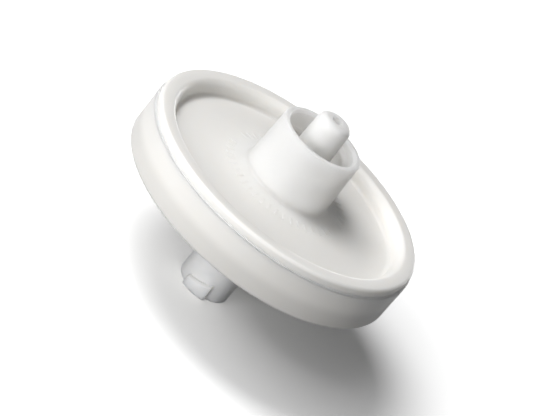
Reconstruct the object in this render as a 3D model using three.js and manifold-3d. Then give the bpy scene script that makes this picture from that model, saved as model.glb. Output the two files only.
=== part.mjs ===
// Syringe filter. Two moulded housing halves clamp a membrane disc, and a moulded band locks
// the halves together round the edge. A syringe screws onto the inlet hub below, and the fluid
// leaves through the luer tip above, which stands inside a threaded locking collar.
// Millimetres. Z runs along the flow and Z = 0 is the open end of the inlet hub.

import * as THREE from 'three';
import { mergeVertices } from 'three/addons/utils/BufferGeometryUtils.js';
import Module from 'manifold-3d';

const wasm = await Module();
wasm.setup();

// Facets round the axis, and the longest facet along a rounded edge.
const AROUND = 60;
const EDGE_FACET = 0.4;

// Both halves.
const LUER_TAPER = 0.06; // change of diameter for each millimetre of length
const BOND_GAP = 0.1; // between the band and the halves that it is moulded round
const CLAMP_CLEARANCE = 0.3; // between the inlet's clamp ring and the outlet's skirt

// Band.
const BAND_RADIUS = 17;
const BAND_WALL = 1;
const BAND_BOTTOM_ROUND = 0.4;
const BAND_EDGE_ROUND = 0.1; // its other edges
const LIP_WIDTH = 2; // the band's bottom, from its outside to the edge of its hole
const LIP_HEIGHT = 0.7; // how far the band reaches below the inlet half's edge

// Inlet half.
const HUB_RADIUS = 3.12;
const HUB_DRAFT = 0.06;
const HUB_LENGTH = 11.7; // open end to the seat of the band's lip
const HUB_END_ROUND = 0.3;
const HUB_ROOT_ROUND = 0.9;
const FACE_DROP = 0.5; // the lower face comes down by this much towards the hub
const LIP_SEAT_MARGIN = 0.4; // flat seat inside the lip's edge
const INLET_WALL = 1.2;
const SOCKET_RADIUS = 2.14; // at the mouth
const SOCKET_DEPTH = 8.5;
const SOCKET_CHAMFER = 0.12;
const INLET_BORE_RADIUS = 0.9;
const EAR_RADIUS = 3.7;
const EAR_ARC = 62; // degrees
const EAR_HEIGHT = 1.64; // at the middle of the ear
const EAR_COUNT = 2;
const FLOW_RIB_COUNT = 12;
const FLOW_RIB_WIDTH = 0.6;
const FLOW_RIB_HEIGHT = 0.3;

// Membrane and its clamp.
const MEMBRANE_THICKNESS = 0.2;
const MEMBRANE_MARGIN = 0.3; // from the membrane's edge to the clamp ring's edge
const CHAMBER_DEPTH = 0.4; // under the membrane
const CLAMP_WIDTH = 1;
const SKIRT_WALL = 1.7;

// Outlet half.
const BAND_SEAT = 2.25; // membrane to the band's top
const FLANGE_STEP = 0.05; // the band stands this far outside the flange that rests on it
const FLANGE_WIDTH = 0.17; // outside the rim
const FLANGE_THICKNESS = 0.15;
const RIM_RISE = 1.1; // above the band
const RIM_OUTER_ROUND = 0.4;
const CREST_WIDTH = 1.65; // the rim's level top
const CREST_INNER_ROUND = 0.5;
const SHOULDER_WIDTH = 0.65; // the crest slopes down to the recess's wall
const SHOULDER_DROP = 0.65;
const SHOULDER_ROUND = 1.2;
const WALL_DRAFT = 0.08; // the recess is this much narrower at its foot
const RECESS_DEPTH = 1.9; // at the foot of its wall
const RECESS_ROUND = 0.45;
const FLOOR_RISE = 1.1; // the floor climbs this much to the collar
const GROOVE_WIDTH = 0.8;
const GROOVE_DEPTH = 0.35;
const GROOVE_PITCH = 3;
const CHANNEL_COUNT = 8;

// Locking collar and luer tip.
const COLLAR_RADIUS = 4.94; // at the mouth
const COLLAR_DRAFT = 0.24;
const COLLAR_RISE = 5.75; // above the rim
const COLLAR_ROOT_ROUND = 0.45;
const COLLAR_LIP_ROUND = 0.2;
const COLLAR_BORE_RADIUS = 4.1;
const COLLAR_BORE_DEPTH = 5.7;
const MOUTH_CHAMFER = 0.3;
const THREAD_CREST_RADIUS = 3.6;
const THREAD_BEAD_RADIUS = 0.55;
const THREAD_LEAD = 5;
const THREAD_STARTS = 2;
const THREAD_TURNS = 0.75;
const THREAD_END_MARGIN = 0.95; // from the collar's mouth to the middle of the thread's end
const TIP_RADIUS = 2; // at the end
const TIP_RISE = 2.6; // beyond the collar
const TIP_END_ROUND = 0.8;
const TIP_BORE_RADIUS = 0.55;
const TIP_BORE_DRAFT = 0.2;
const TIP_BORE_ROUND = 0.2; // at the mouth

// Heights that follow.
const lipSeatZ = HUB_LENGTH;
const bandBottomZ = lipSeatZ - LIP_HEIGHT;
const chamberFloorZ = lipSeatZ + INLET_WALL;
const membraneBottomZ = chamberFloorZ + CHAMBER_DEPTH;
const membraneTopZ = membraneBottomZ + MEMBRANE_THICKNESS;
const bandTopZ = membraneTopZ + BAND_SEAT;
const flangeTopZ = bandTopZ + FLANGE_THICKNESS;
const rimTopZ = bandTopZ + RIM_RISE;
const floorEdgeZ = rimTopZ - RECESS_DEPTH;
const floorTopZ = floorEdgeZ + FLOOR_RISE;
const collarTopZ = rimTopZ + COLLAR_RISE;
const collarFloorZ = collarTopZ - COLLAR_BORE_DEPTH;
const tipEndZ = collarTopZ + TIP_RISE;

// Radii that follow.
const bandBoreRadius = BAND_RADIUS - BAND_WALL;
const halfRadius = bandBoreRadius - BOND_GAP;
const lipRadius = BAND_RADIUS - LIP_WIDTH;
const skirtRadius = halfRadius - SKIRT_WALL;
const clampOuterRadius = skirtRadius - CLAMP_CLEARANCE;
const clampInnerRadius = clampOuterRadius - CLAMP_WIDTH;
const membraneRadius = clampOuterRadius - MEMBRANE_MARGIN;
const flangeRadius = BAND_RADIUS - FLANGE_STEP;
const rimRadius = flangeRadius - FLANGE_WIDTH;
const crestRadius = rimRadius - CREST_WIDTH;
const shoulderRadius = crestRadius - SHOULDER_WIDTH;
const recessRadius = shoulderRadius - WALL_DRAFT;
const collarFootRadius = COLLAR_RADIUS + COLLAR_DRAFT;
const hubFootRadius = HUB_RADIUS + HUB_DRAFT;

// Profile of [radius, height, rounding] corners, with each rounding drawn as an arc.
function rounded(corners) {
  const places = corners.map(([r, z]) => new THREE.Vector2(r, z));
  return corners.flatMap(([r, z, rounding = 0], index) => {
    if (rounding === 0) {
      return [[r, z]];
    }
    const corner = places[index];
    const back = places.at(index - 1).clone().sub(corner).normalize();
    const ahead = places[(index + 1) % places.length].clone().sub(corner).normalize();
    const half = back.angleTo(ahead) / 2;
    const centre = back.clone().add(ahead).setLength(rounding / Math.sin(half)).add(corner);
    const first = back.clone().multiplyScalar(rounding / Math.tan(half)).add(corner);
    const turn = Math.sign(ahead.cross(back)) * (Math.PI - 2 * half);
    const steps = Math.ceil((Math.abs(turn) * rounding) / EDGE_FACET);
    return Array.from({ length: steps + 1 }, (_, step) => (
      first.clone().rotateAround(centre, (turn * step) / steps).toArray()
    ));
  });
}

// Turns a closed profile of radius and height, listed anticlockwise, round the Z axis.
function revolve(profile) {
  const points = [...profile, profile[0]].map(([r, z]) => new THREE.Vector2(r, z));
  const geometry = new THREE.LatheGeometry(points, AROUND);
  geometry.rotateX(Math.PI / 2);
  return geometry;
}

function toSolid(geometry) {
  const bare = geometry.clone();
  bare.deleteAttribute('normal');
  bare.deleteAttribute('uv');
  const merged = mergeVertices(bare, 1e-5);
  const vertProperties = new Float32Array(merged.attributes.position.array);
  const triVerts = new Uint32Array(merged.index.array);
  return new wasm.Manifold(new wasm.Mesh({ numProp: 3, vertProperties, triVerts }));
}

function toMesh(name, solid, color, roughness) {
  const { vertProperties, triVerts } = solid.getMesh();
  const geometry = new THREE.BufferGeometry();
  geometry.setAttribute('position', new THREE.BufferAttribute(vertProperties, 3));
  geometry.setIndex(new THREE.BufferAttribute(triVerts, 1));
  geometry.computeVertexNormals();
  const material = new THREE.MeshStandardMaterial({ color, roughness, metalness: 0 });
  const mesh = new THREE.Mesh(geometry, material);
  mesh.name = name;
  return mesh;
}

// A straight bar from the axis outwards, turned to each place of an even ring.
function radialBars(count, innerRadius, outerRadius, width, bottomZ, topZ) {
  const bars = [];
  for (let index = 0; index < count; index += 1) {
    const bar = new THREE.BoxGeometry(outerRadius - innerRadius, width, topZ - bottomZ);
    bar.translate((outerRadius + innerRadius) / 2, 0, (topZ + bottomZ) / 2);
    bar.rotateZ((index / count) * 2 * Math.PI);
    bars.push(toSolid(bar));
  }
  return bars;
}

// One ear of the inlet hub: a sector whose upper face climbs with the lead of the luer thread.
function hubEar(centreAngle) {
  const halfArc = THREE.MathUtils.degToRad(EAR_ARC / 2);
  const rootRadius = (HUB_RADIUS + SOCKET_RADIUS) / 2;
  const outline = new THREE.Shape();
  outline.absarc(0, 0, EAR_RADIUS, -halfArc, halfArc, false);
  outline.absarc(0, 0, rootRadius, halfArc, -halfArc, true);
  const blank = new THREE.ExtrudeGeometry(outline, {
    depth: 2 * EAR_HEIGHT,
    bevelEnabled: false,
    curveSegments: 10,
  });
  const above = new THREE.BoxGeometry(4 * EAR_RADIUS, 4 * EAR_RADIUS, 4 * EAR_HEIGHT);
  above.translate(0, 0, 2 * EAR_HEIGHT);
  above.rotateX(Math.atan(THREAD_LEAD / (2 * Math.PI * EAR_RADIUS)));
  above.translate(0, 0, EAR_HEIGHT);
  const turn = (centreAngle * 180) / Math.PI;
  return toSolid(blank).subtract(toSolid(above)).rotate([0, 0, turn]);
}

function inletHousing() {
  const socketEndRadius = SOCKET_RADIUS - (SOCKET_DEPTH * LUER_TAPER) / 2;
  const faceRootZ = lipSeatZ - FACE_DROP;
  const seatEdgeRadius = lipRadius - LIP_SEAT_MARGIN;
  const profile = rounded([
    [SOCKET_RADIUS + SOCKET_CHAMFER, 0],
    [HUB_RADIUS, 0, HUB_END_ROUND],
    [hubFootRadius, faceRootZ, HUB_ROOT_ROUND],
    [seatEdgeRadius, lipSeatZ],
    [halfRadius, lipSeatZ],
    [halfRadius, chamberFloorZ],
    [clampOuterRadius, chamberFloorZ],
    [clampOuterRadius, membraneBottomZ],
    [clampInnerRadius, membraneBottomZ],
    [clampInnerRadius, chamberFloorZ],
    [INLET_BORE_RADIUS, chamberFloorZ],
    [INLET_BORE_RADIUS, SOCKET_DEPTH],
    [socketEndRadius, SOCKET_DEPTH],
    [SOCKET_RADIUS, SOCKET_CHAMFER],
  ]);
  let solid = toSolid(revolve(profile));
  for (let index = 0; index < EAR_COUNT; index += 1) {
    solid = solid.add(hubEar(-Math.PI / 2 + (index / EAR_COUNT) * 2 * Math.PI));
  }
  const ribStart = 2 * INLET_BORE_RADIUS;
  const ribRoot = chamberFloorZ - INLET_WALL / 2;
  const ribTop = chamberFloorZ + FLOW_RIB_HEIGHT;
  for (const rib of radialBars(
    FLOW_RIB_COUNT, ribStart, clampInnerRadius + CLAMP_WIDTH / 2, FLOW_RIB_WIDTH, ribRoot, ribTop,
  )) {
    solid = solid.add(rib);
  }
  return toMesh('inlet_housing', solid, 0xe6eae4, 0.4);
}

function membrane() {
  const profile = [
    [0, membraneBottomZ],
    [membraneRadius, membraneBottomZ],
    [membraneRadius, membraneTopZ],
    [0, membraneTopZ],
  ];
  return toMesh('membrane', toSolid(revolve(profile)), 0xf6f6f4, 0.9);
}

// Square grooves under the outlet half, from the clamp ring inwards, as profile points.
function grooveProfile() {
  const points = [];
  const outermost = clampInnerRadius - GROOVE_WIDTH;
  const innermost = 2 * TIP_BORE_RADIUS + GROOVE_WIDTH;
  const count = Math.max(1, Math.floor((outermost - innermost) / GROOVE_PITCH));
  for (let index = count - 1; index >= 0; index -= 1) {
    const middle = outermost - index * GROOVE_PITCH;
    points.push([middle - GROOVE_WIDTH / 2, membraneTopZ]);
    points.push([middle - GROOVE_WIDTH / 2, membraneTopZ + GROOVE_DEPTH]);
    points.push([middle + GROOVE_WIDTH / 2, membraneTopZ + GROOVE_DEPTH]);
    points.push([middle + GROOVE_WIDTH / 2, membraneTopZ]);
  }
  return points;
}

// Round bead of one thread start along the inside of the collar, rising anticlockwise.
class ThreadPath extends THREE.Curve {
  constructor(startAngle) {
    super();
    this.startAngle = startAngle;
  }

  getPoint(t, target = new THREE.Vector3()) {
    const angle = this.startAngle + t * THREAD_TURNS * 2 * Math.PI;
    const radius = THREAD_CREST_RADIUS + THREAD_BEAD_RADIUS;
    const z = collarTopZ - THREAD_END_MARGIN - (1 - t) * THREAD_TURNS * THREAD_LEAD;
    return target.set(radius * Math.cos(angle), radius * Math.sin(angle), z);
  }
}

function threadBead(startAngle) {
  const sides = 8;
  const corners = [];
  for (let side = 0; side < sides; side += 1) {
    const angle = ((side + 0.5) / sides) * 2 * Math.PI;
    const reach = THREAD_BEAD_RADIUS / Math.cos(Math.PI / sides);
    corners.push(new THREE.Vector2(reach * Math.cos(angle), reach * Math.sin(angle)));
  }
  return new THREE.ExtrudeGeometry(new THREE.Shape(corners), {
    steps: Math.ceil(THREAD_TURNS * 36),
    extrudePath: new ThreadPath(startAngle),
    bevelEnabled: false,
  });
}

function outletHousing() {
  const tipFootRadius = TIP_RADIUS + ((tipEndZ - collarFloorZ) * LUER_TAPER) / 2;
  const mouthRadius = COLLAR_BORE_RADIUS + MOUTH_CHAMFER;
  const boreFootRadius = TIP_BORE_RADIUS + TIP_BORE_DRAFT;
  const profile = rounded([
    [boreFootRadius, membraneTopZ],
    ...grooveProfile(),
    [skirtRadius, membraneTopZ],
    [skirtRadius, chamberFloorZ],
    [halfRadius, chamberFloorZ],
    [halfRadius, bandTopZ],
    [flangeRadius, bandTopZ],
    [flangeRadius, flangeTopZ],
    [rimRadius, flangeTopZ],
    [rimRadius, rimTopZ, RIM_OUTER_ROUND],
    [crestRadius, rimTopZ, CREST_INNER_ROUND],
    [shoulderRadius, rimTopZ - SHOULDER_DROP, SHOULDER_ROUND],
    [recessRadius, floorEdgeZ, RECESS_ROUND],
    [collarFootRadius, floorTopZ, COLLAR_ROOT_ROUND],
    [COLLAR_RADIUS, collarTopZ, COLLAR_LIP_ROUND],
    [mouthRadius, collarTopZ],
    [COLLAR_BORE_RADIUS, collarTopZ - MOUTH_CHAMFER],
    [COLLAR_BORE_RADIUS, collarFloorZ],
    [tipFootRadius, collarFloorZ],
    [TIP_RADIUS, tipEndZ, TIP_END_ROUND],
    [TIP_BORE_RADIUS, tipEndZ, TIP_BORE_ROUND],
  ]);
  let solid = toSolid(revolve(profile));
  for (const channel of radialBars(
    CHANNEL_COUNT, 0, clampInnerRadius - GROOVE_WIDTH / 2, GROOVE_WIDTH,
    membraneTopZ - GROOVE_DEPTH, membraneTopZ + GROOVE_DEPTH,
  )) {
    solid = solid.subtract(channel);
  }
  for (let start = 0; start < THREAD_STARTS; start += 1) {
    solid = solid.add(toSolid(threadBead((start / THREAD_STARTS) * 2 * Math.PI)));
  }
  return toMesh('outlet_housing', solid, 0xf2f0ea, 0.35);
}

function sealingBand() {
  const profile = rounded([
    [BAND_RADIUS, bandBottomZ, BAND_BOTTOM_ROUND],
    [BAND_RADIUS, bandTopZ, BAND_EDGE_ROUND],
    [bandBoreRadius, bandTopZ],
    [bandBoreRadius, lipSeatZ],
    [lipRadius, lipSeatZ],
    [lipRadius, bandBottomZ, BAND_EDGE_ROUND],
  ]);
  return toMesh('sealing_band', toSolid(revolve(profile)), 0xecece8, 0.4);
}

const filter = new THREE.Group();
filter.add(inletHousing(), membrane(), outletHousing(), sealingBand());

export default filter;
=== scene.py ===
"""Syringe filter: the finished look of its mouldings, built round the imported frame.

The outlet half, the inlet half and the band are turned shapes, so each starts as one rounded
outline and is spun about the flow axis. The thread, the ears, the ribs and the floor's ticks follow.
"""

import math

import bmesh
import bpy
from mathutils import Matrix, Vector


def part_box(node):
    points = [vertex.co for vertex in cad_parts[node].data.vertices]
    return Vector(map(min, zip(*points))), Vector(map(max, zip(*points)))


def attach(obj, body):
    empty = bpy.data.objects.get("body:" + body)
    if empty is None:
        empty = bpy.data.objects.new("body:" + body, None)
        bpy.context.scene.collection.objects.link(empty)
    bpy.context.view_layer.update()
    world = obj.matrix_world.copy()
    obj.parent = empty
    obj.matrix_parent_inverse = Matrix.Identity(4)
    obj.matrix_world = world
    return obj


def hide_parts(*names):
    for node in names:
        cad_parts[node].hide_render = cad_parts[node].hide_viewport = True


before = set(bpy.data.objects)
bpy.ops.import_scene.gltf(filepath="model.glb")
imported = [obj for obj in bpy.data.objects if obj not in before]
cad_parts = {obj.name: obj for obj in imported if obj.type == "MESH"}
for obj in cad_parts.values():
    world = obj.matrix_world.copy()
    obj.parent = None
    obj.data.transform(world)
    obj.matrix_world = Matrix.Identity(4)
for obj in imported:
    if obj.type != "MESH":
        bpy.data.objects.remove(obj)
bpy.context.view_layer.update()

MM = 0.001
AROUND = 240  # faces round the axis
ARC_STEP = math.radians(12)  # the most that one face of a rounded edge turns
EDGE_EASE = 0.06 * MM  # every moulded corner is at least this round
SMOOTH_BELOW = math.radians(32)  # corners sharper than this stay crisp
MERGE_BELOW = 0.001 * MM

outlet_low, outlet_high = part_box("outlet_housing")
inlet_low, inlet_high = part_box("inlet_housing")
band_low, band_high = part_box("sealing_band")
membrane_low, membrane_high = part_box("membrane")


# Outlines and turned shapes


def rounded_outline(corners):
    """Closed outline of (radius, height, rounding) corners, with each rounding drawn as an arc."""
    outline = []
    for index, (radius, height, rounding) in enumerate(corners):
        corner = Vector((radius, height))
        if rounding == 0:
            outline.append(corner)
            continue
        back = (Vector(corners[index - 1][:2]) - corner).normalized()
        ahead = (Vector(corners[(index + 1) % len(corners)][:2]) - corner).normalized()
        half = back.angle(ahead) / 2
        centre = corner + (back + ahead).normalized() * rounding / math.sin(half)
        spoke = corner + back * rounding / math.tan(half) - centre
        turn = math.copysign(math.pi - 2 * half, ahead.cross(back))
        steps = max(2, math.ceil(abs(turn) / ARC_STEP))
        for step in range(steps + 1):
            outline.append(centre + Matrix.Rotation(turn * step / steps, 2) @ spoke)
    return outline


def turned(outline, around=AROUND):
    """Mesh of a closed outline spun once about the Z axis."""
    shape = bmesh.new()
    ring = [shape.verts.new((point.x, 0, point.y)) for point in outline]
    edges = [shape.edges.new((ring[index - 1], vert)) for index, vert in enumerate(ring)]
    bmesh.ops.spin(
        shape, geom=ring + edges, cent=(0, 0, 0), axis=(0, 0, 1), angle=math.tau,
        steps=around, use_merge=True, use_duplicate=False,
    )
    bmesh.ops.remove_doubles(shape, verts=shape.verts, dist=MERGE_BELOW)
    bmesh.ops.recalc_face_normals(shape, faces=shape.faces)
    return shape


def as_object(name, shape):
    """Object at the origin that holds the shape."""
    mesh = bpy.data.meshes.new(name)
    shape.to_mesh(mesh)
    shape.free()
    piece = bpy.data.objects.new(name, mesh)
    bpy.context.scene.collection.objects.link(piece)
    return piece


def shade(piece):
    """Makes the piece smooth, apart from its crisp corners."""
    piece.data.shade_smooth()
    piece.data.set_sharp_from_angle(angle=SMOOTH_BELOW)


def combine(piece, tool_shape, operation, crossing=False):
    """Joins a closed shape to the piece, or cuts it out. Crossing shapes cross themselves."""
    tool = as_object("tool", tool_shape)
    step = piece.modifiers.new("step", "BOOLEAN")
    step.operation = operation
    step.solver = "EXACT"
    step.use_self = crossing
    step.object = tool
    depsgraph = bpy.context.evaluated_depsgraph_get()
    finished = bpy.data.meshes.new_from_object(piece.evaluated_get(depsgraph))
    piece.modifiers.clear()
    piece.data = finished
    bpy.data.objects.remove(tool)


def radial_bars(count, inner, outer, width, low, high):
    """Straight bars in an even ring, each from an inner to an outer radius."""
    shape = bmesh.new()
    for index in range(count):
        made = bmesh.ops.create_cube(shape, size=1)
        size = Vector((outer - inner, width, high - low))
        middle = Vector(((outer + inner) / 2, 0, (high + low) / 2))
        place = Matrix.Rotation(math.tau * index / count, 4, "Z") @ Matrix.Translation(middle)
        place = place @ Matrix.Diagonal((*size, 1))
        bmesh.ops.transform(shape, matrix=place, verts=made["verts"])
    return shape


def eased(value, low, high):
    """0 below low, 1 above high, and a smooth rise between."""
    share = min(max((value - low) / (high - low), 0), 1)
    return share * share * (3 - 2 * share)


# Outlet half: rim, dished top, locking collar and luer tip

LUER_TAPER = 0.06
FLANGE_WIDTH = 0.17 * MM
FLANGE_THICKNESS = 0.15 * MM
FLANGE_ROOT_ROUND = 0.1 * MM
RIM_RISE = 1.1 * MM
RIM_OUTER_ROUND = 0.4 * MM
CREST_WIDTH = 1.65 * MM
CREST_INNER_ROUND = 0.5 * MM
SHOULDER_WIDTH = 0.65 * MM
SHOULDER_DROP = 0.65 * MM
SHOULDER_ROUND = 1.2 * MM
WALL_DRAFT = 0.08 * MM
RECESS_ROUND = 0.45 * MM
FLOOR_DEPTH_AT_WALL = 1.9 * MM
FLOOR_DEPTH_AT_COLLAR = 0.8 * MM
COLLAR_RADIUS = 4.94 * MM
COLLAR_DRAFT = 0.24 * MM
COLLAR_RISE = 5.75 * MM
COLLAR_LIP_ROUND = 0.2 * MM
COLLAR_ROOT_ROUND = 0.45 * MM
COLLAR_BORE_RADIUS = 4.1 * MM
COLLAR_BORE_DEPTH = 5.7 * MM
COLLAR_FLOOR_ROUND = 0.25 * MM
MOUTH_CHAMFER = 0.3 * MM
TIP_RADIUS = 2 * MM
TIP_END_ROUND = 0.8 * MM
TIP_BORE_RADIUS = 0.55 * MM
TIP_BORE_DRAFT = 0.2 * MM
TIP_BORE_ROUND = 0.2 * MM
SKIRT_RADIUS = 14.2 * MM
GROOVE_WIDTH = 0.8 * MM
GROOVE_DEPTH = 0.35 * MM
GROOVE_PITCH = 3 * MM
GROOVE_COUNT = 3
OUTERMOST_GROOVE = 12.1 * MM
CHANNEL_COUNT = 8

rim_top = band_high.z + RIM_RISE
collar_top = rim_top + COLLAR_RISE
collar_floor = collar_top - COLLAR_BORE_DEPTH
half_radius = inlet_high.x
flange_radius = outlet_high.x
rim_radius = flange_radius - FLANGE_WIDTH
crest_radius = rim_radius - CREST_WIDTH
shoulder_radius = crest_radius - SHOULDER_WIDTH
recess_radius = shoulder_radius - WALL_DRAFT
collar_foot_radius = COLLAR_RADIUS + COLLAR_DRAFT

THREAD_LEAD = 5 * MM
THREAD_STARTS = 2
THREAD_TURNS = 0.75
THREAD_DEPTH = 0.5 * MM
THREAD_CREST_HALF = 0.16 * MM
THREAD_ROOT_HALF = 0.56 * MM
THREAD_END_MARGIN = 0.95 * MM
THREAD_RUN_OUT = 0.08  # share of the thread over which each of its ends fades
THREAD_ROW = 0.08 * MM
ON_WALL = 0.01 * MM  # this close to the bore's radius counts as its wall


def grooved_underside():
    """Corners of the drainage grooves, from the innermost outwards."""
    corners = []
    for index in reversed(range(GROOVE_COUNT)):
        middle = OUTERMOST_GROOVE - index * GROOVE_PITCH
        inner = middle - GROOVE_WIDTH / 2
        outer = middle + GROOVE_WIDTH / 2
        top = membrane_high.z + GROOVE_DEPTH
        corners += [(inner, membrane_high.z, 0), (inner, top, 0)]
        corners += [(outer, top, 0), (outer, membrane_high.z, 0)]
    return corners


def outlet_corners():
    tip_end = outlet_high.z
    tip_foot_radius = TIP_RADIUS + (tip_end - collar_floor) * LUER_TAPER / 2
    return [
        (TIP_BORE_RADIUS + TIP_BORE_DRAFT, membrane_high.z, EDGE_EASE),
        *grooved_underside(),
        (SKIRT_RADIUS, membrane_high.z, EDGE_EASE),
        (SKIRT_RADIUS, outlet_low.z, EDGE_EASE),
        (half_radius, outlet_low.z, EDGE_EASE),
        (half_radius, band_high.z, EDGE_EASE),
        (flange_radius, band_high.z, 0),
        (flange_radius, band_high.z + FLANGE_THICKNESS, EDGE_EASE),
        (rim_radius, band_high.z + FLANGE_THICKNESS, FLANGE_ROOT_ROUND),
        (rim_radius, rim_top, RIM_OUTER_ROUND),
        (crest_radius, rim_top, CREST_INNER_ROUND),
        (shoulder_radius, rim_top - SHOULDER_DROP, SHOULDER_ROUND),
        (recess_radius, rim_top - FLOOR_DEPTH_AT_WALL, RECESS_ROUND),
        (collar_foot_radius, rim_top - FLOOR_DEPTH_AT_COLLAR, COLLAR_ROOT_ROUND),
        (COLLAR_RADIUS, collar_top, COLLAR_LIP_ROUND),
        (COLLAR_BORE_RADIUS + MOUTH_CHAMFER, collar_top, EDGE_EASE),
        (COLLAR_BORE_RADIUS, collar_top - MOUTH_CHAMFER, EDGE_EASE),
        (COLLAR_BORE_RADIUS, collar_floor, COLLAR_FLOOR_ROUND),
        (tip_foot_radius, collar_floor, COLLAR_FLOOR_ROUND),
        (TIP_RADIUS, tip_end, TIP_END_ROUND),
        (TIP_BORE_RADIUS, tip_end, TIP_BORE_ROUND),
    ]


def with_thread_rows(outline):
    """Splits the collar's inner wall into rows fine enough to carry the thread."""
    rows = []
    for index, point in enumerate(outline):
        before = outline[index - 1]
        off_wall = max(abs(end.x - COLLAR_BORE_RADIUS) for end in (before, point))
        if off_wall < ON_WALL and before.y - point.y > THREAD_LEAD / 2:
            count = math.ceil((before.y - point.y) / THREAD_ROW)
            rows += [before.lerp(point, row / count) for row in range(1, count)]
        rows.append(point)
    return rows


def thread_height(angle, height):
    """How far the luer thread stands out of the collar's wall, at an angle and a height."""
    stand = 0
    for start in range(THREAD_STARTS):
        share = (angle / math.tau - start / THREAD_STARTS) % 1 / THREAD_TURNS
        if share > 1:
            continue
        middle = collar_top - THREAD_END_MARGIN - (1 - share) * THREAD_TURNS * THREAD_LEAD
        flank = 1 - eased(abs(height - middle), THREAD_CREST_HALF, THREAD_ROOT_HALF)
        ends = eased(min(share, 1 - share), 0, THREAD_RUN_OUT)
        stand = max(stand, THREAD_DEPTH * flank * ends)
    return stand


def raise_thread(shape):
    """Moves the fine rows of the collar's inner wall inwards where the thread runs."""
    for vert in shape.verts:
        radius = math.hypot(vert.co.x, vert.co.y)
        below_mouth = vert.co.z < collar_top - MOUTH_CHAMFER
        if abs(radius - COLLAR_BORE_RADIUS) < ON_WALL and below_mouth:
            angle = math.atan2(vert.co.y, vert.co.x) % math.tau
            inwards = 1 - thread_height(angle, vert.co.z) / radius
            vert.co.xy = vert.co.xy * inwards


TICK_LENGTH = 1 * MM
TICK_WIDTH = 0.3 * MM
TICK_STAND = 0.05 * MM
TICK_SUNK = 0.3 * MM
TICK_ROUND = 0.03 * MM
TICK_RADIUS = 7.3 * MM
TICK_STEP = 7.5  # degrees
TICK_ARCS = ((-172, -8), (8, 172))  # degrees


def floor_height(radius):
    """Height of the dished floor at a radius."""
    share = (radius - collar_foot_radius) / (recess_radius - collar_foot_radius)
    depth = FLOOR_DEPTH_AT_COLLAR + share * (FLOOR_DEPTH_AT_WALL - FLOOR_DEPTH_AT_COLLAR)
    return rim_top - depth


def floor_ticks():
    """Low raised ticks on the dished floor, in two arcs round the collar."""
    shape = bmesh.new()
    slope = math.atan2(
        FLOOR_DEPTH_AT_WALL - FLOOR_DEPTH_AT_COLLAR, recess_radius - collar_foot_radius
    )
    size = Vector((TICK_LENGTH, TICK_WIDTH, TICK_STAND + TICK_SUNK))
    for first, last in TICK_ARCS:
        count = int((last - first) / TICK_STEP)
        for index in range(count + 1):
            made = bmesh.ops.create_cube(shape, size=1)
            bmesh.ops.scale(shape, vec=size, verts=made["verts"])
            top = [edge for edge in shape.edges if edge.verts[0] in made["verts"]
                   and all(vert.co.z > 0 for vert in edge.verts)]
            rounded = bmesh.ops.bevel(
                shape, geom=top, offset=TICK_ROUND, affect="EDGES", segments=3,
                profile=0.5, material=-1, clamp_overlap=True,
            )
            verts = set(made["verts"]) | set(rounded["verts"])
            verts = [vert for vert in verts if vert.is_valid]
            middle = (TICK_STAND - TICK_SUNK) / 2 + floor_height(TICK_RADIUS)
            place = Matrix.Rotation(math.radians(first + index * TICK_STEP), 4, "Z")
            place = place @ Matrix.Translation((TICK_RADIUS, 0, middle))
            place = place @ Matrix.Rotation(slope, 4, "Y")
            bmesh.ops.transform(shape, matrix=place, verts=verts)
    return shape


def outlet_half():
    shape = turned(with_thread_rows(rounded_outline(outlet_corners())))
    raise_thread(shape)
    piece = as_object("outlet_half", shape)
    channels = radial_bars(
        CHANNEL_COUNT, 0, OUTERMOST_GROOVE, GROOVE_WIDTH,
        membrane_high.z - GROOVE_DEPTH, membrane_high.z + GROOVE_DEPTH,
    )
    combine(piece, channels, "DIFFERENCE", crossing=True)
    combine(piece, floor_ticks(), "UNION")
    shade(piece)
    return piece


# Inlet half: disc, luer hub with its socket and ears, clamp ring and flow ribs

HUB_RADIUS = 3.12 * MM
HUB_DRAFT = 0.06 * MM
HUB_END_ROUND = 0.3 * MM
HUB_ROOT_ROUND = 0.9 * MM
LIP_HEIGHT = 0.7 * MM
FACE_DROP = 0.5 * MM
SEAT_EDGE_RADIUS = 14.6 * MM
SOCKET_RADIUS = 2.14 * MM
SOCKET_DEPTH = 8.5 * MM
SOCKET_CHAMFER = 0.12 * MM
SOCKET_FLOOR_ROUND = 0.2 * MM
INLET_BORE_RADIUS = 0.9 * MM
INLET_BORE_ROUND = 0.12 * MM
CLAMP_OUTER_RADIUS = 13.9 * MM
CLAMP_INNER_RADIUS = 12.9 * MM
FLOW_RIB_COUNT = 12
FLOW_RIB_WIDTH = 0.6 * MM
FLOW_RIB_HEIGHT = 0.3 * MM
EAR_RADIUS = 3.7 * MM
EAR_ROOT_RADIUS = 2.6 * MM
EAR_ARC = 62  # degrees
EAR_HEIGHT = 1.64 * MM  # at the middle of the ear
EAR_COUNT = 2
EAR_STEPS = 48
EAR_ROUND = 0.3 * MM
EAR_END_FADE = 0.5 * MM
EAR_END_SINK = 0.7 * MM

lip_seat = band_low.z + LIP_HEIGHT


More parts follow.
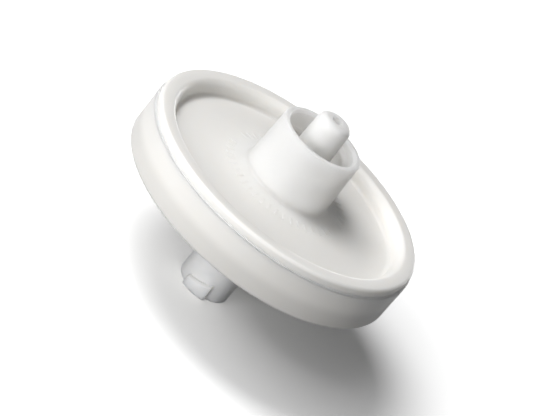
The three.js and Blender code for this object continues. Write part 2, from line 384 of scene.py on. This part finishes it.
def inlet_corners():
    chamber_floor = outlet_low.z
    hub_end = inlet_low.z
    socket_end_radius = SOCKET_RADIUS - SOCKET_DEPTH * LUER_TAPER / 2
    return [
        (SOCKET_RADIUS + SOCKET_CHAMFER, hub_end, 0),
        (HUB_RADIUS, hub_end, HUB_END_ROUND),
        (HUB_RADIUS + HUB_DRAFT, lip_seat - FACE_DROP, HUB_ROOT_ROUND),
        (SEAT_EDGE_RADIUS, lip_seat, 0),
        (half_radius, lip_seat, EDGE_EASE),
        (half_radius, chamber_floor, EDGE_EASE),
        (CLAMP_OUTER_RADIUS, chamber_floor, EDGE_EASE),
        (CLAMP_OUTER_RADIUS, inlet_high.z, EDGE_EASE),
        (CLAMP_INNER_RADIUS, inlet_high.z, EDGE_EASE),
        (CLAMP_INNER_RADIUS, chamber_floor, EDGE_EASE),
        (INLET_BORE_RADIUS, chamber_floor, INLET_BORE_ROUND),
        (INLET_BORE_RADIUS, SOCKET_DEPTH, INLET_BORE_ROUND),
        (socket_end_radius, SOCKET_DEPTH, SOCKET_FLOOR_ROUND),
        (SOCKET_RADIUS, hub_end + SOCKET_CHAMFER, 0),
    ]


def hub_ears():
    """Ears at the hub's open end, whose upper faces climb with the lead of the luer thread."""
    shape = bmesh.new()
    arc = math.radians(EAR_ARC)
    corners = [
        (EAR_ROOT_RADIUS, inlet_low.z, 0), (EAR_RADIUS, inlet_low.z, EAR_ROUND),
        (EAR_RADIUS, EAR_HEIGHT, EAR_ROUND), (EAR_ROOT_RADIUS, EAR_HEIGHT, 0),
    ]
    for index in range(EAR_COUNT):
        first = -math.pi / 2 + math.tau * index / EAR_COUNT - arc / 2
        section = [shape.verts.new((point.x, 0, point.y)) for point in rounded_outline(corners)]
        start_face = shape.faces.new(section)
        bmesh.ops.rotate(
            shape, cent=(0, 0, 0), matrix=Matrix.Rotation(first, 3, "Z"), verts=section,
        )
        bmesh.ops.spin(
            shape, geom=[start_face, *start_face.edges, *section], cent=(0, 0, 0),
            axis=(0, 0, 1), angle=arc, steps=EAR_STEPS, use_merge=False, use_duplicate=False,
        )
    for vert in shape.verts:
        angle = math.atan2(vert.co.y, vert.co.x)
        past_middle = angle - math.copysign(math.pi / 2, angle)
        radius = vert.co.xy.length
        if radius > HUB_RADIUS:
            to_end = (arc / 2 - abs(past_middle)) * EAR_RADIUS
            sunk = EAR_END_SINK * (1 - eased(to_end, 0, EAR_END_FADE))
            vert.co.xy = vert.co.xy * (1 - sunk / radius)
        if vert.co.z > EAR_HEIGHT / 2:
            vert.co.z += past_middle / math.tau * THREAD_LEAD
    bmesh.ops.recalc_face_normals(shape, faces=shape.faces)
    return shape


def inlet_half():
    piece = as_object("inlet_half", turned(rounded_outline(inlet_corners())))
    ribs = radial_bars(
        FLOW_RIB_COUNT, 2 * INLET_BORE_RADIUS, (CLAMP_INNER_RADIUS + CLAMP_OUTER_RADIUS) / 2,
        FLOW_RIB_WIDTH, outlet_low.z - FLOW_RIB_HEIGHT, outlet_low.z + FLOW_RIB_HEIGHT,
    )
    combine(piece, ribs, "UNION")
    combine(piece, hub_ears(), "UNION")
    shade(piece)
    return piece


# Band moulded round both halves

BAND_WALL = 1 * MM
BAND_BOTTOM_ROUND = 0.4 * MM
BAND_EDGE_ROUND = 0.1 * MM
LIP_WIDTH = 2 * MM


def edge_band():
    outside = band_high.x
    corners = [
        (outside, band_low.z, BAND_BOTTOM_ROUND),
        (outside, band_high.z, BAND_EDGE_ROUND),
        (outside - BAND_WALL, band_high.z, EDGE_EASE),
        (outside - BAND_WALL, lip_seat, EDGE_EASE),
        (outside - LIP_WIDTH, lip_seat, EDGE_EASE),
        (outside - LIP_WIDTH, band_low.z, BAND_EDGE_ROUND),
    ]
    piece = as_object("edge_band", turned(rounded_outline(corners)))
    shade(piece)
    return piece


# Finishes

FLOW_PER_METRE = 160  # slow clouds and flow marks
FLOW_STRENGTH = 0.25
FLOW_HEIGHT = 0.05 * MM
GRAIN_PER_METRE = 5200  # the fine eroded grain
GRAIN_HEIGHT = 0.01 * MM
SATIN_SPREAD = 0.06
THIN_INSIDE = 5 * MM  # the collar and the tip let the light through
SOLID_OUTSIDE = 9 * MM
PORES_PER_METRE = 9000
PORE_HEIGHT = 0.02 * MM
PORE_COLOUR = (0.86, 0.86, 0.85, 1)
FILM_COLOUR = (0.94, 0.94, 0.93, 1)


class Nodes:
    """Short way to add and link the nodes of one material or world."""

    def __init__(self, owner):
        owner.use_nodes = True
        self.tree = owner.node_tree
        self.tree.nodes.clear()

    def add(self, kind, settings=None, **inputs):
        node = self.tree.nodes.new(kind)
        for name, value in (settings or {}).items():
            setattr(node, name, value)
        for name, value in inputs.items():
            self.feed(node, name.replace("_", " "), value)
        return node

    def feed(self, node, name, value):
        socket = node.inputs[int(name)] if name.isdigit() else node.inputs[name]
        if isinstance(value, bpy.types.NodeSocket):
            self.tree.links.new(value, socket)
        else:
            socket.default_value = value

    def place(self):
        """Where on the piece a point lies, in metres."""
        return self.add("ShaderNodeTexCoord").outputs["Object"]

    def joined(self, kind, operation, first, second):
        """Node that joins two values by an operation."""
        node = self.add(kind, {"operation": operation} if operation else None)
        self.feed(node, "0", first)
        self.feed(node, "1", second)
        return node

    def maths(self, operation, first, second):
        return self.joined("ShaderNodeMath", operation, first, second).outputs[0]

    def vectors(self, operation, first, second=(0, 0, 0)):
        return self.joined("ShaderNodeVectorMath", operation, first, second).outputs

    def ramp(self, value, low, high, at_low, at_high, shape="LINEAR"):
        """Goes from at_low to at_high while the value goes from low to high."""
        node = self.add("ShaderNodeMapRange", {"interpolation_type": shape}, Value=value)
        for name, number in zip(("1", "2", "3", "4"), (low, high, at_low, at_high)):
            self.feed(node, name, number)
        return node.outputs[0]

    def blend(self, share, first, second):
        """Colour that goes from the first to the second with the share."""
        node = self.add("ShaderNodeMix", {"data_type": "RGBA"})
        for name, value in zip(("0", "6", "7"), (share, first, second)):
            self.feed(node, name, value)
        return node.outputs[2]


def moulded_plastic(
    name, colour, shaded_colour, scatter, edge_scatter, roughness, grain,
    painted_shade_share=1, painted_shade_top=0, painted_shade_fade=MM,
):
    """Satin moulded plastic: cloudy colour, a fine eroded grain and slow flow marks.

    The light scatters further near the axis, where the walls are thin, than at the edge. Below a
    given height the colour is painted deeper by a share, a painted shade on the lower part of
    the wall.
    """
    material = bpy.data.materials.new(name)
    nodes = Nodes(material)
    place = nodes.place()
    clouds = nodes.add(
        "ShaderNodeTexNoise", Vector=place, Scale=FLOW_PER_METRE, Detail=4, Roughness=0.55,
    ).outputs[0]
    fine = nodes.add(
        "ShaderNodeTexNoise", Vector=place, Scale=GRAIN_PER_METRE, Detail=3, Roughness=0.6,
    ).outputs[0]
    height = nodes.add("ShaderNodeSeparateXYZ", Vector=place).outputs["Z"]
    # Painted shade: below a given height the colour is made deeper by a share.
    painted_shade = nodes.ramp(
        height, painted_shade_top - painted_shade_fade / 2, painted_shade_top + painted_shade_fade / 2, painted_shade_share, 1,
        shape="SMOOTHSTEP",
    )
    tint = nodes.blend(clouds, (*shaded_colour, 1), (*colour, 1))
    tint_with_painted_shade = nodes.add("ShaderNodeVectorMath", {"operation": "SCALE"}, Scale=painted_shade)
    nodes.feed(tint_with_painted_shade, "0", tint)
    flow = nodes.add(
        "ShaderNodeBump", Height=clouds, Strength=FLOW_STRENGTH, Distance=FLOW_HEIGHT,
    ).outputs["Normal"]
    relief = nodes.add(
        "ShaderNodeBump", Height=fine, Strength=grain, Distance=GRAIN_HEIGHT, Normal=flow,
    )
    level_place = nodes.vectors("MULTIPLY", place, (1, 1, 0))[0]
    off_axis = nodes.vectors("LENGTH", level_place)["Value"]
    plastic = nodes.add(
        "ShaderNodeBsdfPrincipled",
        Base_Color=tint_with_painted_shade.outputs[0],
        Roughness=nodes.ramp(fine, 0, 1, roughness - SATIN_SPREAD, roughness + SATIN_SPREAD),
        Normal=relief.outputs["Normal"],
        IOR=1.49,
        Specular_IOR_Level=0.2,
        Subsurface_Weight=1,
        Subsurface_Radius=(1, 0.97, 0.93),
        Subsurface_Scale=nodes.ramp(off_axis, THIN_INSIDE, SOLID_OUTSIDE, scatter, edge_scatter),
    )
    nodes.add("ShaderNodeOutputMaterial", Surface=plastic.outputs["BSDF"])
    return material


def porous_film():
    """Matt membrane with a fine speckle of pores."""
    material = bpy.data.materials.new("porous film")
    nodes = Nodes(material)
    pores = nodes.add(
        "ShaderNodeTexVoronoi", Vector=nodes.place(), Scale=PORES_PER_METRE,
    ).outputs["Distance"]
    relief = nodes.add("ShaderNodeBump", Height=pores, Strength=0.5, Distance=PORE_HEIGHT)
    film = nodes.add(
        "ShaderNodeBsdfPrincipled", Base_Color=nodes.blend(pores, PORE_COLOUR, FILM_COLOUR),
        Roughness=0.9, Normal=relief.outputs["Normal"],
    )
    nodes.add("ShaderNodeOutputMaterial", Surface=film.outputs["BSDF"])
    return material


def dress(piece, material, node):
    """Gives a finished piece its material and its body, and hides the node it stands for."""
    piece.data.materials.clear()
    piece.data.materials.append(material)
    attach(piece, "root")
    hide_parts(node)


outlet_plastic = moulded_plastic(
    "outlet plastic", colour=(0.905, 0.89, 0.86), shaded_colour=(0.88, 0.865, 0.835),
    scatter=4.5 * MM, edge_scatter=0.7 * MM, roughness=0.36, grain=0.2,
)
inlet_plastic = moulded_plastic(
    "inlet plastic", colour=(0.985, 0.975, 0.94), shaded_colour=(0.965, 0.955, 0.92),
    scatter=1.6 * MM, edge_scatter=1.6 * MM, roughness=0.32, grain=0.25,
)
band_plastic = moulded_plastic(
    "band plastic", colour=(0.875, 0.86, 0.83), shaded_colour=(0.85, 0.835, 0.805),
    scatter=0.9 * MM, edge_scatter=0.9 * MM, roughness=0.42, grain=0.6,
    # Painted shade: the band's colour is darkened to 0.88 below 13.3 mm.
    painted_shade_share=0.88, painted_shade_top=13.3 * MM, painted_shade_fade=1.4 * MM,
)
dress(outlet_half(), outlet_plastic, "outlet_housing")
dress(inlet_half(), inlet_plastic, "inlet_housing")
dress(edge_band(), band_plastic, "sealing_band")
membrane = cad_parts["membrane"]
membrane.data.materials.clear()
membrane.data.materials.append(porous_film())


# Floor, light and camera

FLOOR_HALF = 1.5
# Painted shadow: the floor's glow is low round a middle beside the part and white further out.
GLOW_NEAR = 0.04  # in the part's shadow
GLOW_FAR = 0.75  # round about it
GLOW_NEAR_RADIUS = 8 * MM
GLOW_FAR_RADIUS = 38 * MM
PAINTED_SHADOW_MIDDLE = Vector((11, 10, 0)) * MM
FLOOR_SEEN = 1  # how pale the floor looks
# Painted shade: to bounced light the floor is paler towards -X and darker towards +X, so the part's
# +X side gets less light back.
FLOOR_BOUNCE_LEFT = 0.32  # how pale it is to the light that it sends back up
FLOOR_BOUNCE_RIGHT = 0.05
BOUNCE_FADE_FROM = -12 * MM
BOUNCE_FADE_TO = 14 * MM
WORLD_LEVEL = 0.03
LAMP_DISTANCE = 0.4

CAMERA_AZIMUTH = math.radians(6.5)
CAMERA_ELEVATION = math.radians(25.2)
CAMERA_ROLL = math.radians(39.7)
CAMERA_DISTANCE = 230.2 * MM
CAMERA_LENS = 140.4
CAMERA_NEAR = 0.01
CAMERA_FAR = 10
CAMERA_AIM = Vector((0.95, -1.5, 13.41)) * MM


def view_rays(nodes):
    """1 for camera, glossy and transmission rays, which see the white background."""
    rays = nodes.add("ShaderNodeLightPath").outputs
    seen = nodes.maths("MAXIMUM", rays["Is Camera Ray"], rays["Is Glossy Ray"])
    return nodes.maths("MAXIMUM", seen, rays["Is Transmission Ray"])


def pale_floor():
    """Wide paper floor, white to the camera through a glow of its own.

    The glow is low round a middle beside the part, a painted shadow that deepens the part's own
    shadow there. To the light that it sends back up, the floor is paler towards -X than towards
    +X: painted shade on the part's +X side.
    """
    shape = bmesh.new()
    bmesh.ops.create_grid(shape, x_segments=1, y_segments=1, size=FLOOR_HALF)
    floor = as_object("floor", shape)
    material = bpy.data.materials.new("pale floor")
    nodes = Nodes(material)
    seen = view_rays(nodes)
    place = nodes.place()
    across = nodes.add("ShaderNodeSeparateXYZ", Vector=place).outputs["X"]
    # Painted shade on the part's +X side: the floor sends back less light there.
    bounce = nodes.ramp(
        across, BOUNCE_FADE_FROM, BOUNCE_FADE_TO, FLOOR_BOUNCE_LEFT, FLOOR_BOUNCE_RIGHT,
    )
    paper = nodes.add("ShaderNodeBsdfDiffuse", Color=nodes.ramp(seen, 0, 1, bounce, FLOOR_SEEN))
    # Painted shadow: the glow drops towards its middle, darkening the floor there.
    from_shade = nodes.vectors("SUBTRACT", place, PAINTED_SHADOW_MIDDLE)[0]
    away = nodes.vectors("LENGTH", from_shade)["Value"]
    backdrop_and_painted_shadow = nodes.ramp(away, GLOW_NEAR_RADIUS, GLOW_FAR_RADIUS, GLOW_NEAR, GLOW_FAR)
    glow = nodes.add("ShaderNodeEmission", Strength=nodes.maths("MULTIPLY", seen, backdrop_and_painted_shadow))
    both = nodes.joined("ShaderNodeAddShader", None, paper.outputs[0], glow.outputs[0])
    nodes.add("ShaderNodeOutputMaterial", Surface=both.outputs[0])
    floor.data.materials.append(material)


def white_world():
    """World that looks white and sends little light of its own."""
    world = bpy.data.worlds.new("white studio")
    bpy.context.scene.world = world
    nodes = Nodes(world)
    strength = nodes.ramp(view_rays(nodes), 0, 1, WORLD_LEVEL, 1)
    light = nodes.add("ShaderNodeBackground", Strength=strength)
    nodes.add("ShaderNodeOutputWorld", Surface=light.outputs[0])


def turned_towards(azimuth, elevation, distance, aim):
    """Place of a lamp or camera that looks at aim from an azimuth and an elevation."""
    turn = Matrix.Rotation(azimuth, 4, "Z")
    tilt = Matrix.Rotation(math.pi / 2 - elevation, 4, "X")
    return Matrix.Translation(aim) @ turn @ tilt @ Matrix.Translation((0, 0, distance))


def soft_lamp(name, azimuth, elevation, width, height, power):
    """Oval lamp, placed by degrees of azimuth from the front, towards +X, and of elevation."""
    lamp = bpy.data.lights.new(name, "AREA")
    lamp.shape = "ELLIPSE"
    lamp.size = width
    lamp.size_y = height
    lamp.energy = power
    holder = bpy.data.objects.new(name, lamp)
    bpy.context.scene.collection.objects.link(holder)
    holder.matrix_world = turned_towards(
        math.radians(azimuth), math.radians(elevation), LAMP_DISTANCE, CAMERA_AIM
    )


def camera():
    lens = bpy.data.cameras.new("camera")
    lens.lens = CAMERA_LENS
    lens.clip_start = CAMERA_NEAR
    lens.clip_end = CAMERA_FAR
    holder = bpy.data.objects.new("camera", lens)
    bpy.context.scene.collection.objects.link(holder)
    place = turned_towards(CAMERA_AZIMUTH, CAMERA_ELEVATION, CAMERA_DISTANCE, CAMERA_AIM)
    holder.matrix_world = place @ Matrix.Rotation(CAMERA_ROLL, 4, "Z")
    bpy.context.scene.camera = holder


pale_floor()
white_world()
soft_lamp("key lamp", azimuth=-70, elevation=57, width=0.2, height=0.2, power=1.18)
soft_lamp("front soft box", azimuth=-16, elevation=22, width=0.2, height=0.2, power=0.53)
soft_lamp("front strip", azimuth=-6, elevation=3, width=0.3, height=0.04, power=0.72)
soft_lamp("back strip", azimuth=170, elevation=2, width=0.3, height=0.04, power=0.45)
camera()
bpy.context.scene.view_settings.view_transform = "Standard"
